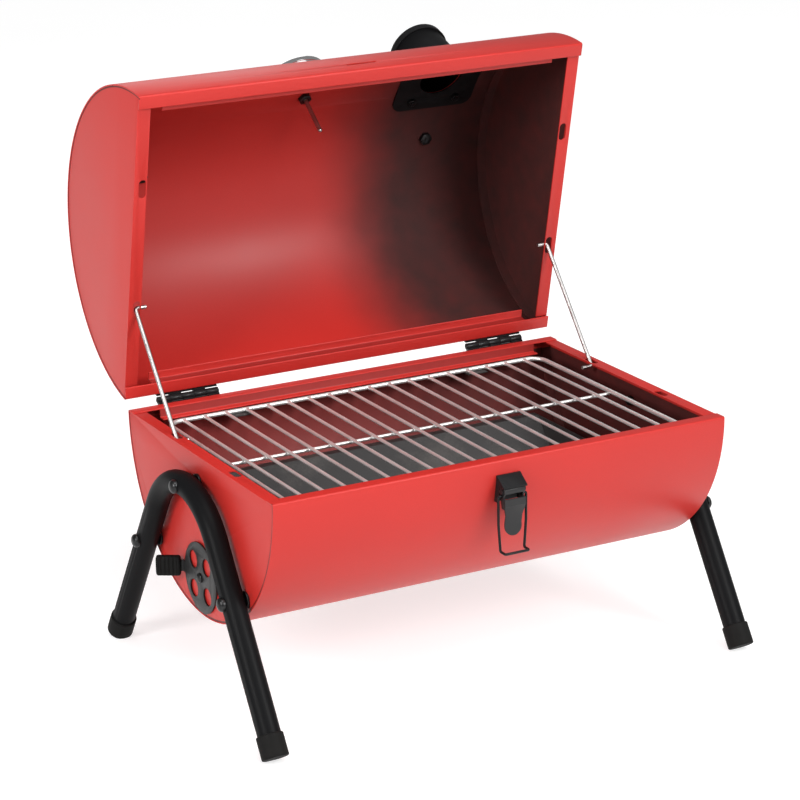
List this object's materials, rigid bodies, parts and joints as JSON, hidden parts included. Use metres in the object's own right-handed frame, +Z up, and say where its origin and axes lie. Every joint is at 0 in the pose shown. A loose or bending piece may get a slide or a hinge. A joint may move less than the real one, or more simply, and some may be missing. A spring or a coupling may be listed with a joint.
{
  "type": "portable tabletop grill",
  "caption": "Portable barrel-shaped tabletop charcoal grill with hinged lid on stay rods, wire grate, bent tube legs, chimney, dial thermometer, air dampers and toggle latch.",
  "frame": {"origin": "on the ground, midway between the four feet", "axes": "+X to the grill's right end, +Y to the hinge side at the back, +Z up"},
  "size_m": [0.4816, 0.4705, 0.5034],
  "materials": {
    "red_coat": "fine-grained satin powder coat",
    "black_tube": "satin black powder coat",
    "black_steel": "semi-gloss black enamel",
    "black_rubber": "matt moulded rubber",
    "black_plastic": "heat-resistant black plastic",
    "plated_wire": "bright plated wire",
    "bright_chrome": "polished chrome",
    "plated_fasteners": "blackened steel",
    "dark_enamel": "dark heat-resistant enamel",
    "dial_white": "printed dial face",
    "needle_red": "painted needle",
    "lens_glass": "clear glass"
  },
  "bodies": {
    "base": {"base_shell": "red_coat", "base_end_cap_left": "red_coat", "base_end_cap_right": "red_coat", "leg_left": "black_tube", "leg_right": "black_tube", "foot_cap_front_left": "black_rubber", "foot_cap_front_right": "black_rubber", "foot_cap_rear_left": "black_rubber", "foot_cap_rear_right": "black_rubber", "leg_washers": "plated_fasteners", "leg_screws": "plated_fasteners", "leg_nuts": "plated_fasteners", "damper_rivet_left": "plated_fasteners", "damper_rivet_right": "plated_fasteners", "hinge_base_leaf_left": "black_steel", "hinge_base_leaf_right": "black_steel", "hinge_base_rivets": "plated_fasteners", "hinge_pins": "plated_fasteners", "latch_bracket": "black_steel", "latch_rivets": "plated_fasteners", "latch_pivot_pin": "black_steel", "grate_supports": "dark_enamel", "charcoal_tray": "dark_enamel", "tray_feet": "dark_enamel"},
    "lid": {"lid_shell": "red_coat", "lid_end_cap_left": "red_coat", "lid_end_cap_right": "red_coat", "hinge_lid_leaf_left": "black_steel", "hinge_lid_leaf_right": "black_steel", "hinge_lid_rivets": "plated_fasteners", "chimney_tube": "black_steel", "chimney_inner_plate": "black_steel", "chimney_screws": "plated_fasteners", "chimney_nuts": "plated_fasteners", "chimney_cap_rivet": "plated_fasteners", "thermometer_case": "bright_chrome", "thermometer_dial": "dial_white", "thermometer_lens": "lens_glass", "thermometer_stem": "bright_chrome", "thermometer_nut": "plated_fasteners", "handle_grip": "black_plastic", "handle_posts": "black_steel", "handle_bolts": "plated_fasteners"},
    "chimney_cap": {"chimney_cap": "black_steel"},
    "thermometer_needle": {"thermometer_needle": "needle_red"},
    "stay_rod_left": {"stay_rod_left": "plated_wire"},
    "stay_rod_right": {"stay_rod_right": "plated_wire"},
    "damper_left": {"damper_disc_left": "black_steel", "damper_grip_left": "black_rubber"},
    "damper_right": {"damper_disc_right": "black_steel", "damper_grip_right": "black_rubber"},
    "latch_lever": {"latch_lever": "black_steel"},
    "latch_bail": {"latch_bail": "black_steel"},
    "cooking_grate": {"grate_frame": "plated_wire", "grate_bars": "plated_wire"}
  },
  "joints": [
    {"name": "lid_hinge", "type": "hinge", "parent": "base", "child": "lid", "pos_m": [0, 0.1474, 0.216], "axis": [1, 0, 0], "range_deg": [0, 77.6]},
    {"name": "stay_rod_left_pivot", "type": "hinge", "parent": "lid", "child": "stay_rod_left", "pos_m": [-0.207, 0.1358, 0.30601], "axis": [1, 0, 0], "range_deg": [-38.8, 0]},
    {"name": "stay_rod_right_pivot", "type": "hinge", "parent": "lid", "child": "stay_rod_right", "pos_m": [0.207, 0.1358, 0.30601], "axis": [1, 0, 0], "range_deg": [-38.8, 0]},
    {"name": "damper_left_turn", "type": "hinge", "parent": "base", "child": "damper_left", "pos_m": [-0.2155, 0, 0.105], "axis": [1, 0, 0], "continuous": true},
    {"name": "damper_right_turn", "type": "hinge", "parent": "base", "child": "damper_right", "pos_m": [0.2155, 0, 0.105], "axis": [1, 0, 0], "continuous": true},
    {"name": "latch_lever_pivot", "type": "hinge", "parent": "base", "child": "latch_lever", "pos_m": [0, -0.1495, 0.1895], "axis": [1, 0, 0], "range_deg": [-95, 0]},
    {"name": "latch_bail_pivot", "type": "hinge", "parent": "latch_lever", "child": "latch_bail", "pos_m": [0, -0.149, 0.1852], "axis": [-1, 0, 0], "range_deg": [0, 180]},
    {"name": "grate_lift", "type": "slide", "parent": "base", "child": "cooking_grate", "axis": [0, 0, 1], "range_m": [0, 0.06]},
    {"name": "chimney_cap_turn", "type": "hinge", "parent": "lid", "child": "chimney_cap", "pos_m": [0.146, 0.22468, 0.45528], "axis": [0, 0.9373, 0.3486], "continuous": true},
    {"name": "thermometer_needle_turn", "type": "hinge", "parent": "lid", "child": "thermometer_needle", "pos_m": [0.006, 0.24134, 0.46195], "axis": [0, -0.7727, -0.6347], "range_deg": [0, 270], "stiffness_Nm_per_rad": 0.0003}
  ],
  "couplings": [
    {"joint": "stay_rod_left_pivot", "follows": "lid_hinge", "ratio": -0.5},
    {"joint": "stay_rod_right_pivot", "follows": "lid_hinge", "ratio": -0.5}
  ]
}
